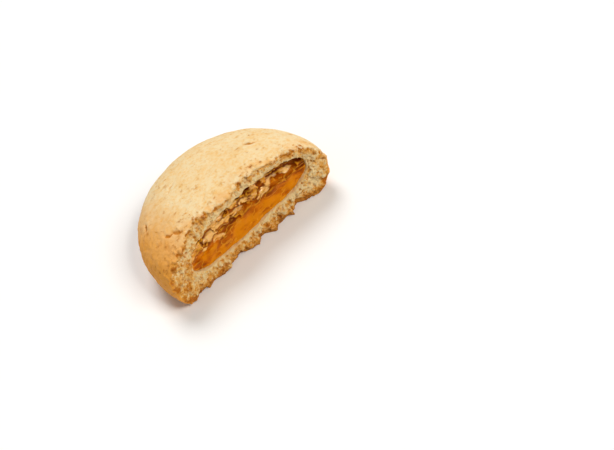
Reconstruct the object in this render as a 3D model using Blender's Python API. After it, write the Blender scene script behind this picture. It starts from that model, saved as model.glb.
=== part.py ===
"""A domed, jam-filled cookie broken across: the larger half, lying on its flat underside.

Two solids: the baked dough, which is a shell round the filling with a torn, craggy break, and the jam lens inside it,
which shows along the break. X runs along the break, the break faces -Y, and Z is up.
"""

import math

import bmesh
import bpy
from mathutils import Vector, noise

# Driving sizes of the whole cookie, in metres
RADIUS = 0.025
HEIGHT = 0.0186
WIDEST_LEVEL = 0.0076
UNDERSIDE_RADIUS = 0.0198
SHOULDER_POWER = 2.74
DOME_POWER = 2.57

# The break: a little past the middle, with its two ends standing further out than its middle
BREAK_OFFSET = 0.0015
BREAK_BOW = 0.0015
BOW_REACH = 0.020
BREAK_LEAN = -0.073

# Lumps of crumb and torn crust on the break: place along the break, level, how far it stands out, and its spread
BREAK_LUMPS = (
    (-0.0025, 0.0180, 0.0014, 0.0022),
    (-0.0110, 0.0175, -0.0010, 0.0028),
    (0.0172, 0.0160, 0.0006, 0.0020),
    (0.0225, 0.0125, 0.0008, 0.0024),
    (-0.0228, 0.0060, 0.0007, 0.0026),
    (-0.0175, 0.0008, -0.0010, 0.0020),
    (-0.0093, 0.0010, 0.0006, 0.0016),
    (-0.0048, 0.0005, -0.0009, 0.0013),
    (-0.0015, 0.0005, 0.0007, 0.0012),
    (0.0025, 0.0005, -0.0010, 0.0013),
    (0.0052, 0.0005, 0.0012, 0.0017),
    (0.0103, 0.0008, 0.0008, 0.0016),
    (0.0142, 0.0008, -0.0012, 0.0022),
)
CRAG_LAYERS = ((0.0044, 0.00070), (0.0018, 0.00062), (0.0009, 0.00032))

# The jam: a thick lens, a little off the cookie's centre along the break
JAM_RADIUS = 0.0186
JAM_HALF_HEIGHT = 0.0054
JAM_LEVEL = 0.0092
JAM_SHIFT = 0.0013
JAM_POWER = 2.5
JAM_TILT = 0.035
JAM_RECESS = 0.0006
JAM_SLOPE = 0.16
JAM_RIDGES = ((0.0060, 0.0026, 0.00075), (0.0026, 0.0014, 0.00032))
TOUCH_GAP = 0.0003

# Unevenness of the baked skin and of the jam
SKIN_SWELL = 0.00028
SKIN_SWELL_SIZE = 0.0110
SKIN_BUMP = 0.00009
SKIN_BUMP_SIZE = 0.0024
JAM_SWELL = 0.00045
JAM_SWELL_SIZE = 0.0075

# How finely the surfaces are divided
RING_SEGMENTS = 112
DOME_STEPS = 19
FLANK_STEPS = 7
UNDERSIDE_RINGS = 3
JAM_SEGMENTS = 72
JAM_STEPS = 18
BREAK_CELL = 0.00066
JAM_CELL = 0.00060
MERGE_DISTANCE = 1e-6


def clear_scene():
    """Remove everything that the scene starts with."""
    for old in list(bpy.data.objects):
        bpy.data.objects.remove(old, do_unlink=True)


def material(name, colour, roughness):
    """A plain Principled material."""
    made = bpy.data.materials.new(name)
    made.use_nodes = True
    shader = made.node_tree.nodes["Principled BSDF"]
    shader.inputs["Base Color"].default_value = (*colour, 1.0)
    shader.inputs["Roughness"].default_value = roughness
    shader.inputs["Metallic"].default_value = 0.0
    return made


def object_from(mesh_data, name):
    """Turn a bmesh into a linked object."""
    bmesh.ops.recalc_face_normals(mesh_data, faces=mesh_data.faces)
    mesh = bpy.data.meshes.new(name)
    mesh_data.to_mesh(mesh)
    mesh_data.free()
    made = bpy.data.objects.new(name, mesh)
    bpy.context.scene.collection.objects.link(made)
    return made


def turned(profile, segments):
    """Spin a profile of (radius, level) points, which starts and ends on the axis, into a closed mesh."""
    mesh_data = bmesh.new()
    line = [mesh_data.verts.new((radius, 0.0, level)) for radius, level in profile]
    edges = [mesh_data.edges.new(pair) for pair in zip(line, line[1:])]
    bmesh.ops.spin(
        mesh_data,
        geom=line + edges,
        cent=(0.0, 0.0, 0.0),
        axis=(0.0, 0.0, 1.0),
        angle=2.0 * math.pi,
        steps=segments,
    )
    bmesh.ops.remove_doubles(mesh_data, verts=mesh_data.verts, dist=MERGE_DISTANCE)
    return mesh_data


def cookie_profile():
    """The whole cookie's half section, from the middle of the underside to the middle of the top."""
    points = [(UNDERSIDE_RADIUS * i / UNDERSIDE_RINGS, 0.0) for i in range(UNDERSIDE_RINGS)]
    for i in range(FLANK_STEPS):
        turn = 0.5 * math.pi * i / FLANK_STEPS
        out = UNDERSIDE_RADIUS + (RADIUS - UNDERSIDE_RADIUS) * math.sin(turn)
        points.append((out, WIDEST_LEVEL * (1.0 - math.cos(turn))))
    for i in range(DOME_STEPS):
        turn = 0.5 * math.pi * i / DOME_STEPS
        out = RADIUS * math.cos(turn) ** (2.0 / SHOULDER_POWER)
        rise = (HEIGHT - WIDEST_LEVEL) * math.sin(turn) ** (2.0 / DOME_POWER)
        points.append((out, WIDEST_LEVEL + rise))
    points.append((0.0, HEIGHT))
    return points


def jam_profile(radius, half_height):
    """The lens's half section round its own middle, bottom to top."""
    points = [(0.0, -half_height)]
    for i in range(1, JAM_STEPS):
        turn = math.pi * (i / JAM_STEPS - 0.5)
        out = radius * math.cos(turn) ** (2.0 / JAM_POWER)
        rise = half_height * math.copysign(abs(math.sin(turn)) ** (2.0 / JAM_POWER), turn)
        points.append((out, rise))
    points.append((0.0, half_height))
    return points


def even_break(x, z):
    """How far the break stands out at a place along it and a level, before its lumps and crags."""
    return BREAK_OFFSET + BREAK_BOW * (x / BOW_REACH) ** 2 + BREAK_LEAN * (z - 0.5 * HEIGHT)


def crags(x, z):
    """Rough relief of the torn crumb at a place on the break."""
    total = 0.0
    for size, depth in CRAG_LAYERS:
        total += depth * noise.noise(Vector((x / size, 7.3, z / size)))
    return total


def break_level(x, z):
    """The break's Y at a place along it and a level above the underside."""
    out = even_break(x, z)
    for place, level, reach, spread in BREAK_LUMPS:
        away = ((x - place) ** 2 + (z - level) ** 2) / spread**2
        out += reach * math.exp(-away)
    return -(out + crags(x, z))


def jam_front_level(x, z):
    """The Y of the jam's torn front, which leans back towards the top and has ridges along the break."""
    back = JAM_RECESS + JAM_SLOPE * max(z - JAM_LEVEL, 0.0)
    for length, width, depth in JAM_RIDGES:
        ridge = noise.noise(Vector((x / length, 3.1, z / width)))
        back += depth * (1.0 - 2.0 * abs(ridge)) - 0.5 * depth
    return back - even_break(x, z)


def swell_skin(mesh_data):
    """Make the turned skin as uneven as a baked one, leaving the underside flat."""
    mesh_data.normal_update()
    moves = []
    for vert in mesh_data.verts:
        broad = SKIN_SWELL * noise.noise(vert.co / SKIN_SWELL_SIZE)
        fine = SKIN_BUMP * noise.noise(vert.co / SKIN_BUMP_SIZE)
        hold = min(1.0, vert.co.z / (0.35 * WIDEST_LEVEL))
        moves.append(vert.normal * (broad + fine) * hold)
    for vert, move in zip(mesh_data.verts, moves):
        vert.co += move
        vert.co.z = max(vert.co.z, 0.0)


def jam_lens(name, margin):
    """The uncut lens of jam, grown by a margin, at its place in the cookie."""
    mesh_data = turned(jam_profile(JAM_RADIUS + margin, JAM_HALF_HEIGHT + margin), JAM_SEGMENTS)
    for vert in mesh_data.verts:
        swell = noise.noise(vert.co / JAM_SWELL_SIZE)
        vert.co.z += JAM_SWELL * swell * (1.0 - (vert.co.xy.length / (2.0 * RADIUS)))
        vert.co.z += JAM_LEVEL + JAM_TILT * vert.co.x
        vert.co.x += JAM_SHIFT
    return object_from(mesh_data, name)


def break_block(name, level_at, cell, half_length, low, high):
    """A block in front of the break, whose back is the torn surface: what the other half took away."""
    across = round(2.0 * half_length / cell)
    upward = round((high - low) / cell)
    mesh_data = bmesh.new()
    bmesh.ops.create_grid(mesh_data, x_segments=across, y_segments=upward, size=1.0)
    for vert in mesh_data.verts:
        x = vert.co.x * half_length
        z = low + (vert.co.y + 1.0) * 0.5 * (high - low)
        vert.co = Vector((x, level_at(x, z), z))
    rim = [edge for edge in mesh_data.edges if edge.is_boundary]
    grown = bmesh.ops.extrude_edge_only(mesh_data, edges=rim)["geom"]
    for vert in grown:
        if isinstance(vert, bmesh.types.BMVert):
            vert.co.y = -2.0 * RADIUS
    front = [e for e in grown if isinstance(e, bmesh.types.BMEdge) and e.is_boundary]
    bmesh.ops.edgeloop_fill(mesh_data, edges=front)
    return object_from(mesh_data, name)


def cut(target, cutter):
    """Take the cutter's shape out of the target for good."""
    modifier = target.modifiers.new("cut", "BOOLEAN")
    modifier.operation = "DIFFERENCE"
    modifier.solver = "EXACT"
    modifier.object = cutter
    bpy.context.view_layer.objects.active = target
    bpy.ops.object.modifier_apply(modifier=modifier.name)


def finish(target, made_of, smooth_angle):
    """Give a solid its material and smooth shading."""
    target.data.materials.clear()
    target.data.materials.append(made_of)
    target.data.shade_smooth()
    target.data.set_sharp_from_angle(angle=math.radians(smooth_angle))


def build_dough(torn_block):
    """The baked dough: the domed cookie less the filling's hollow and the half that is gone."""
    skin = turned(cookie_profile(), RING_SEGMENTS)
    swell_skin(skin)
    dough = object_from(skin, "cookie_dough")
    hollow = jam_lens("jam_hollow", TOUCH_GAP)
    cut(dough, hollow)
    cut(dough, torn_block)
    bpy.data.objects.remove(hollow)
    return dough


def build_jam():
    """The filling: the lens of jam, torn across a little behind the dough's break."""
    jam = jam_lens("jam_filling", 0.0)
    top = JAM_LEVEL + 2.0 * JAM_HALF_HEIGHT
    torn = break_block("jam_tear", jam_front_level, JAM_CELL, RADIUS, -JAM_CELL, top)
    cut(jam, torn)
    bpy.data.objects.remove(torn)
    return jam


def centre_on_floor(pieces):
    """Move the meshes so that the middle of the object's box stands over the origin."""
    points = [vert.co for piece in pieces for vert in piece.data.vertices]
    middle_x = 0.5 * (min(p.x for p in points) + max(p.x for p in points))
    middle_y = 0.5 * (min(p.y for p in points) + max(p.y for p in points))
    lowest = min(p.z for p in points)
    for piece in pieces:
        for vert in piece.data.vertices:
            vert.co -= Vector((middle_x, middle_y, lowest))


def build_cookie():
    """Make both solids and place them."""
    clear_scene()
    margin = 4.0 * BREAK_CELL
    torn_block = break_block("torn_off", break_level, BREAK_CELL, RADIUS + margin, -margin, HEIGHT + margin)
    dough = build_dough(torn_block)
    bpy.data.objects.remove(torn_block)
    jam = build_jam()
    centre_on_floor((dough, jam))
    finish(dough, material("baked_dough", (0.78, 0.55, 0.29), 0.75), 50.0)
    finish(jam, material("jam", (0.72, 0.27, 0.03), 0.15), 50.0)


build_cookie()
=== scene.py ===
"""Looks of a broken, jam-filled cookie half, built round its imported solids.

The cookie lies on its flat underside. X runs along the break, the torn face looks towards -Y, and Z is up.
Every piece is modelled about the middle of the whole cookie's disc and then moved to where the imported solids
lie. Lengths are in metres, except where a docstring says millimetres.
"""

import logging
import math
import random
from dataclasses import dataclass
from enum import Enum
from typing import Callable, Sequence

import bpy
import numpy as np
from mathutils import Euler, Matrix, Vector, noise
from mathutils.bvhtree import BVHTree
from mathutils.kdtree import KDTree


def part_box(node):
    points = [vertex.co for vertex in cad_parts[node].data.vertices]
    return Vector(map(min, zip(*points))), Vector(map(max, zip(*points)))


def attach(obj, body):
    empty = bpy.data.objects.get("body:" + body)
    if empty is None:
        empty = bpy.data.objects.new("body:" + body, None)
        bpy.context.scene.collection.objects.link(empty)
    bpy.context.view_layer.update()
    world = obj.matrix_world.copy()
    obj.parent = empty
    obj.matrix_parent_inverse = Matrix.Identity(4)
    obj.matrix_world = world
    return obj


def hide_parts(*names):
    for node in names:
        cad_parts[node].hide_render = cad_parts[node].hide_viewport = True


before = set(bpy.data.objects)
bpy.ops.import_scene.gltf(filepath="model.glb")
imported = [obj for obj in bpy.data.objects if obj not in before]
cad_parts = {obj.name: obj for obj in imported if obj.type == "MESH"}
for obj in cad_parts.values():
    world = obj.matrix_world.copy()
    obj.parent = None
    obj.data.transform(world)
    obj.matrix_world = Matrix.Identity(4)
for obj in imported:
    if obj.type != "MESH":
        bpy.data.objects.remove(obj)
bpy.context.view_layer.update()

LOG = logging.getLogger("filled_cookie")
MM = 0.001
MERGE_DISTANCE = 0.001 * MM
WEIGHT_STEPS = 20
MIX_LOW = 6
MIX_HIGH = 7
MIX_COLOUR = 2
Colour = tuple[float, float, float]
Triple = tuple[float, float, float]
Profile = Sequence[tuple[float, float]]


class Pattern(Enum):
    """The textures that a Displace modifier presses into a surface."""

    CLOUDS = "CLOUDS"
    CELLS = "VORONOI"


class Region(Enum):
    """The vertex groups, each the weight of one kind of surface."""

    TORN = "torn"
    SKIN = "skin"
    ROUGH = "rough"
    MARKS = "marks"
    HIDDEN = "hidden"


# The solids' sizes


@dataclass(frozen=True)
class CookieForm:
    """The whole cookie, its break and the mould of its filling, about the disc's centre on the underside.

    A lump of the break is its place along X, its level, how far it stands out and its spread, and a layer of
    crags is its size and its depth, all in millimetres.
    """

    radius: float = 25.0 * MM
    height: float = 18.6 * MM
    widest_level: float = 7.6 * MM
    underside_radius: float = 19.8 * MM
    shoulder_power: float = 2.74
    dome_power: float = 2.57
    break_offset: float = 1.5 * MM
    break_bow: float = 1.5 * MM
    bow_reach: float = 20.0 * MM
    break_lean: float = -0.073
    lumps: tuple[tuple[float, float, float, float], ...] = (
        (-2.5, 18.0, 1.4, 2.2),
        (-11.0, 17.5, -1.0, 2.8),
        (17.2, 16.0, 0.6, 2.0),
        (22.5, 12.5, 0.8, 2.4),
        (-22.8, 6.0, 0.7, 2.6),
        (-17.5, 0.8, -1.0, 2.0),
        (-9.3, 1.0, 0.6, 1.6),
        (-4.8, 0.5, -0.9, 1.3),
        (-1.5, 0.5, 0.7, 1.2),
        (2.5, 0.5, -1.0, 1.3),
        (5.2, 0.5, 1.2, 1.7),
        (10.3, 0.8, 0.8, 1.6),
        (14.2, 0.8, -1.2, 2.2),
    )
    crag_layers: tuple[tuple[float, float], ...] = ((4.4, 0.70), (1.8, 0.62), (0.9, 0.32))
    crag_slice: float = 7.3
    jam_radius: float = 18.6 * MM
    jam_half_height: float = 5.4 * MM
    jam_level: float = 9.2 * MM
    jam_shift: float = 1.3 * MM
    jam_power: float = 2.5
    jam_tilt: float = 0.035
    jam_recess: float = 0.6 * MM
    jam_swell: float = 0.45 * MM
    jam_swell_size: float = 7.5 * MM
    gap: float = 0.3 * MM

    def section(self, underside_rings: int, flank_steps: int, dome_steps: int) -> Profile:
        """Half section of the uncut cookie, from the middle of the underside to the middle of the top.

        Args:
            underside_rings: Rings on the flat underside.
            flank_steps: Steps of the curve from the underside to the widest ring.
            dome_steps: Steps of the curve from the widest ring to the top.

        Returns:
            Points of radius and level.
        """
        points = [(self.underside_radius * i / underside_rings, 0.0) for i in range(underside_rings)]
        flare = self.radius - self.underside_radius
        for i in range(flank_steps):
            turn = 0.5 * math.pi * i / flank_steps
            out = self.underside_radius + flare * math.sin(turn)
            points.append((out, self.widest_level * (1 - math.cos(turn))))
        rise = self.height - self.widest_level
        for i in range(dome_steps):
            turn = 0.5 * math.pi * i / dome_steps
            out = self.radius * math.cos(turn) ** (2 / self.shoulder_power)
            points.append((out, self.widest_level + rise * math.sin(turn) ** (2 / self.dome_power)))
        points.append((0.0, self.height))
        return points

    def jam_section(self, margin: float, steps: int) -> Profile:
        """Half section of the jam lens round its own middle, grown by a margin.

        Args:
            margin: How much larger the lens is than the jam.
            steps: Steps from the bottom to the top.

        Returns:
            Points of radius and level, bottom to top.
        """
        half_height = self.jam_half_height + margin
        points = [(0.0, -half_height)]
        for i in range(1, steps):
            turn = math.pi * (i / steps - 0.5)
            out = (self.jam_radius + margin) * math.cos(turn) ** (2 / self.jam_power)
            rise = half_height * math.copysign(abs(math.sin(turn)) ** (2 / self.jam_power), turn)
            points.append((out, rise))
        points.append((0.0, half_height))
        return points

    def even_break(self, x: float, z: float) -> float:
        """How far the break stands out before its lumps and crags."""
        bow = self.break_bow * (x / self.bow_reach) ** 2
        return self.break_offset + bow + self.break_lean * (z - 0.5 * self.height)

    def break_level(self, x: float, z: float) -> float:
        """The torn dough's surface.

        Args:
            x: A place along the break.
            z: A level.

        Returns:
            The surface's Y there.
        """
        out = self.even_break(x, z)
        for place, level, reach, spread in self.lumps:
            away = ((x / MM - place) ** 2 + (z / MM - level) ** 2) / spread**2
            out += reach * MM * math.exp(-away)
        for size, depth in self.crag_layers:
            spot = Vector((x / (size * MM), self.crag_slice, z / (size * MM)))
            out += depth * MM * noise.noise(spot)
        return -out

    def in_jam(self, x: float, z: float, margin: float) -> bool:
        """Whether a place on the break is inside the jam's outline.

        Args:
            x: The place along the break.
            z: Its level.
            margin: How much larger the outline is than the jam.

        Returns:
            True inside the outline.
        """
        across = abs(x - self.jam_shift) / (self.jam_radius + margin)
        upward = abs(z - self.jam_level - self.jam_tilt * x) / (self.jam_half_height + margin)
        return across**self.jam_power + upward**self.jam_power < 1.0


# Hand tools


def take_up(piece: bpy.types.Object) -> None:
    """Make a piece the only selected and active one.

    Args:
        piece: The piece to work on.
    """
    bpy.ops.object.select_all(action="DESELECT")
    piece.select_set(True)
    bpy.context.view_layer.objects.active = piece


def newest(name: str) -> bpy.types.Object:
    """Name the piece that the last operator added.

    Args:
        name: The name of the piece and of its mesh.

    Returns:
        The piece.
    """
    piece = bpy.context.active_object
    piece.name = piece.data.name = name
    return piece


def discard(*pieces: bpy.types.Object) -> None:
    """Remove pieces that were only needed on the way."""
    for piece in pieces:
        bpy.data.objects.remove(piece, do_unlink=True)


def use_modifier(piece: bpy.types.Object, kind: str, **settings: object) -> None:
    """Add a modifier to a piece, set it and apply it.

    Args:
        piece: The piece to change.
        kind: The modifier's type.
        **settings: Its settings by name.
    """
    take_up(piece)
    modifier = piece.modifiers.new(kind.lower(), kind)
    for name, value in settings.items():
        setattr(modifier, name, value)
    bpy.ops.object.modifier_apply(modifier=modifier.name)


def press(
    piece: bpy.types.Object,
    pattern: Pattern,
    size: float,
    depth: float,
    region: Region | None = None,
    direction: str = "NORMAL",
    **look: object,
) -> None:
    """Press a pattern into a surface, along its normals or along an axis.

    Args:
        piece: The piece to change.
        pattern: The texture.
        size: The texture's scale.
        depth: The height between its darkest and lightest value.
        region: The vertex group that limits it.
        direction: NORMAL, or the axis that it moves the surface along.
        **look: Further settings of the texture.
    """
    texture = bpy.data.textures.new(f"{piece.name}_{pattern.value.lower()}", pattern.value)
    texture.noise_scale = size
    for name, value in look.items():
        setattr(texture, name, value)
    group = region.value if region else ""
    way = {"strength": depth, "mid_level": 0.5, "direction": direction, "vertex_group": group}
    use_modifier(piece, "DISPLACE", texture=texture, texture_coords="LOCAL", **way)
    bpy.data.textures.remove(texture)


def lathe(name: str, profile: Profile, segments: int) -> bpy.types.Object:
    """Turn a profile that starts and ends on the axis: one vertex is drawn out along it, then spun.

    Args:
        name: The new piece's name.
        profile: Points of radius and level.
        segments: Steps round the axis.

    Returns:
        A closed shell.
    """
    bpy.ops.object.select_all(action="DESELECT")
    bpy.ops.mesh.primitive_plane_add(size=MM)
    piece = newest(name)
    bpy.ops.object.mode_set(mode="EDIT")
    bpy.ops.mesh.select_all(action="SELECT")
    bpy.ops.mesh.merge(type="CENTER")
    first_out, first_level = profile[0]
    bpy.ops.transform.translate(value=(first_out, 0.0, first_level))
    for (out, level), (next_out, next_level) in zip(profile, profile[1:]):
        step = (next_out - out, 0.0, next_level - level)
        bpy.ops.mesh.extrude_region_move(TRANSFORM_OT_translate={"value": step})
    bpy.ops.mesh.select_all(action="SELECT")
    bpy.ops.mesh.spin(steps=segments, angle=2 * math.pi, center=(0, 0, 0), axis=(0, 0, 1))
    bpy.ops.mesh.select_all(action="SELECT")
    bpy.ops.mesh.remove_doubles(threshold=MERGE_DISTANCE)
    bpy.ops.mesh.normals_make_consistent(inside=False)
    bpy.ops.object.mode_set(mode="OBJECT")
    return piece


def positions(piece: bpy.types.Object) -> np.ndarray:
    """The vertices of a piece.

    Args:
        piece: The piece to read.

    Returns:
        One row for each vertex.
    """
    found = np.empty(len(piece.data.vertices) * 3, np.float32)
    piece.data.vertices.foreach_get("co", found)
    return found.reshape(-1, 3).astype(float)


def place(piece: bpy.types.Object, points: np.ndarray) -> None:
    """Move the vertices of a piece to new places."""
    piece.data.vertices.foreach_set("co", points.astype(np.float32).ravel())
    piece.data.update()


def weigh(piece: bpy.types.Object, region: Region, weights: np.ndarray) -> None:
    """Give a piece a vertex group, its weights rounded to even steps.

    Args:
        piece: The piece.
        region: The group.
        weights: A weight for each vertex.
    """
    group = piece.vertex_groups.new(name=region.value)
    steps = np.round(np.clip(weights, 0.0, 1.0) * WEIGHT_STEPS).astype(int)
    for step in range(1, WEIGHT_STEPS + 1):
        members = np.nonzero(steps == step)[0]
        if len(members):
            group.add(members.tolist(), step / WEIGHT_STEPS, "REPLACE")


def note(piece: bpy.types.Object, name: str, values: np.ndarray) -> None:
    """Store one number for each vertex, for the material to read."""
    attribute = piece.data.attributes.new(name, "FLOAT", "POINT")
    attribute.data.foreach_set("value", values.astype(np.float32))


def tree_of(piece: bpy.types.Object) -> BVHTree:
    """A search tree of a piece's faces."""
    corners = [vertex.co for vertex in piece.data.vertices]
    return BVHTree.FromPolygons(corners, [face.vertices for face in piece.data.polygons])


def distances(tree: BVHTree, points: np.ndarray) -> np.ndarray:
    """How far each point is from the nearest face of a tree."""
    return np.array([tree.find_nearest(Vector(point))[3] for point in points])


def relief(piece: bpy.types.Object, rounds: int) -> np.ndarray:
    """How far each vertex stands out of the evened surface round it, in millimetres.

    Args:
        piece: The piece to measure.
        rounds: How often the surface is evened, which sets how wide a hollow counts.

    Returns:
        A number for each vertex, below zero in a hollow.
    """
    points = positions(piece)
    count = len(points)
    edges = np.empty(len(piece.data.edges) * 2, np.int32)
    piece.data.edges.foreach_get("vertices", edges)
    start, end = edges.reshape(-1, 2).T
    neighbours = np.bincount(edges, minlength=count)[:, None]
    even = points
    for _ in range(rounds):
        sums = [
            np.bincount(start, even[end, axis], count) + np.bincount(end, even[start, axis], count)
            for axis in range(3)
        ]
        even = 0.5 * even + 0.5 * np.column_stack(sums) / neighbours
    normals = np.array([vertex.normal for vertex in piece.data.vertices])
    return np.sum((points - even) * normals, axis=1) / MM


def thin_out(piece: bpy.types.Object, share: float) -> None:
    """Drop faces of a piece, most of them in its hidden region, until only a share is left."""
    hidden = {"vertex_group": Region.HIDDEN.value, "vertex_group_factor": 1.0}
    use_modifier(piece, "DECIMATE", ratio=share, **hidden)


def torn_block(
    name: str, level_at: Callable[[float, float], float], cell: float, form: CookieForm
) -> bpy.types.Object:
    """A block in front of a torn surface: what was taken away.

    Args:
        name: The new piece's name.
        level_at: The surface's Y at a place along the break and a level.
        cell: The size of the surface's cells.
        form: The cookie's sizes.

    Returns:
        A closed block whose back is the torn surface.
    """
    half_length = form.radius + 3 * MM
    low = -2 * MM
    tall = form.height + 5 * MM
    far = -2 * form.radius
    bpy.ops.object.select_all(action="DESELECT")
    bpy.ops.mesh.primitive_grid_add(
        x_subdivisions=round(2 * half_length / cell), y_subdivisions=round(tall / cell), size=2.0
    )
    block = newest(name)
    points = positions(block)
    x = points[:, 0] * half_length
    z = low + (points[:, 1] + 1) * 0.5 * tall
    y = np.array([level_at(a, b) for a, b in zip(x, z)])
    place(block, np.column_stack((x, y, z)))
    bpy.ops.object.mode_set(mode="EDIT")
    bpy.ops.mesh.select_all(action="SELECT")
    bpy.ops.mesh.extrude_region_move(TRANSFORM_OT_translate={"value": (0.0, far, 0.0)})
    bpy.ops.transform.resize(value=(1.0, 0.0, 1.0), center_override=(0.0, far, 0.0))
    bpy.ops.mesh.select_all(action="SELECT")
    bpy.ops.mesh.normals_make_consistent(inside=False)
    bpy.ops.object.mode_set(mode="OBJECT")
    return block


def scattered(name: str, template: bpy.types.Object, placements: Sequence[Matrix]) -> bpy.types.Object:
    """Copies of one small piece joined in one mesh.

    Args:
        name: The new piece's name.
        template: The piece that repeats.
        placements: A matrix for each copy.

    Returns:
        The joined copies.
    """
    shape = positions(template)
    faces = [tuple(face.vertices) for face in template.data.polygons]
    points = []
    joined = []
    for index, placement in enumerate(placements):
        matrix = np.array(placement)
        points.append(shape @ matrix[:3, :3].T + matrix[:3, 3])
        offset = index * len(shape)
        joined.extend(tuple(corner + offset for corner in face) for face in faces)
    mesh = bpy.data.meshes.new(name)
    mesh.from_pydata(np.concatenate(points).tolist(), [], joined)
    piece = bpy.data.objects.new(name, mesh)
    bpy.context.scene.collection.objects.link(piece)
    return piece


def chips(name: str, placements: Sequence[Matrix]) -> bpy.types.Object:
    """Small, uneven, angular chips joined in one mesh, each one unit across before it is placed.

    Args:
        name: The new piece's name.
        placements: A matrix for each chip.

    Returns:
        The joined chips.
    """
    blunted = 0.18
    bpy.ops.object.select_all(action="DESELECT")
    bpy.ops.mesh.primitive_cube_add(size=1.0)
    chip = newest("chip")
    bpy.ops.object.mode_set(mode="EDIT")
    bpy.ops.mesh.select_all(action="SELECT")
    bpy.ops.mesh.bevel(offset=blunted, segments=1, affect="EDGES")
    bpy.ops.object.mode_set(mode="OBJECT")
    press(chip, Pattern.CLOUDS, 0.7, 0.45, noise_depth=1)
    joined = scattered(name, chip, placements)
    discard(chip)
    return joined


def laid(spot: Vector, turn: Matrix, size: Triple) -> Matrix:
    """The matrix of a chip of that size in millimetres, turned, at a spot."""
    return Matrix.Translation(spot) @ turn.to_4x4() @ Matrix.Diagonal((*(side * MM for side in size), 1.0))


def tumbled(draw: random.Random) -> Matrix:
    """Any turn at all."""
    return Euler([draw.uniform(0, 2 * math.pi) for _ in range(3)]).to_matrix()


def tilted(draw: random.Random, spreads: Triple) -> Matrix:
    """A turn that strays from none by a spread round each axis, in degrees."""
    return Euler([math.radians(draw.gauss(0, spread)) for spread in spreads]).to_matrix()


def join(first: bpy.types.Object, *others: bpy.types.Object) -> None:
    """Join pieces into the first.

    Args:
        first: The piece that stays.
        *others: The pieces that become part of it.
    """
    bpy.ops.object.select_all(action="DESELECT")
    for piece in (first, *others):
        piece.select_set(True)
    bpy.context.view_layer.objects.active = first
    bpy.ops.object.join()


def shade_smooth(piece: bpy.types.Object) -> None:
    """Shade every face of a piece smooth."""
    take_up(piece)
    bpy.ops.object.shade_smooth()


# Shader maths


class Value:
    """A number in a material, which Python arithmetic extends with Math nodes."""

    def __init__(self, sketch: "Sketch", socket: bpy.types.NodeSocket) -> None:
        """Wrap a node's output."""
        self.sketch = sketch
        self.socket = socket

    def _math(self, operation: str, *values: "Value | float") -> "Value":
        """A Math node of an operation on values."""
        found = self.sketch.node("ShaderNodeMath", {"operation": operation}, dict(enumerate(values)))
        return Value(self.sketch, found.outputs[0])

    def __add__(self, other: "Value | float") -> "Value":
        """Sum."""
        return self._math("ADD", self, other)

    def __radd__(self, other: float) -> "Value":
        """Sum, turned round."""
        return self._math("ADD", other, self)

    def __sub__(self, other: "Value | float") -> "Value":
        """Difference."""
        return self._math("SUBTRACT", self, other)

    def __rsub__(self, other: float) -> "Value":
        """Difference, turned round."""
        return self._math("SUBTRACT", other, self)

    def __mul__(self, other: "Value | float") -> "Value":
        """Product."""
        return self._math("MULTIPLY", self, other)

    def __rmul__(self, other: float) -> "Value":
        """Product, turned round."""
        return self._math("MULTIPLY", other, self)

    def above(self, low: float, high: float) -> "Value":
        """A smooth step over the number.

        Args:
            low: Where the step is 0.
            high: Where it is 1.

        Returns:
            The step, from 0 to 1.
        """
        settings = {"interpolation_type": "SMOOTHSTEP"}
        found = self.sketch.node("ShaderNodeMapRange", settings, {0: self, 1: low, 2: high})
        return Value(self.sketch, found.outputs[0])


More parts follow.
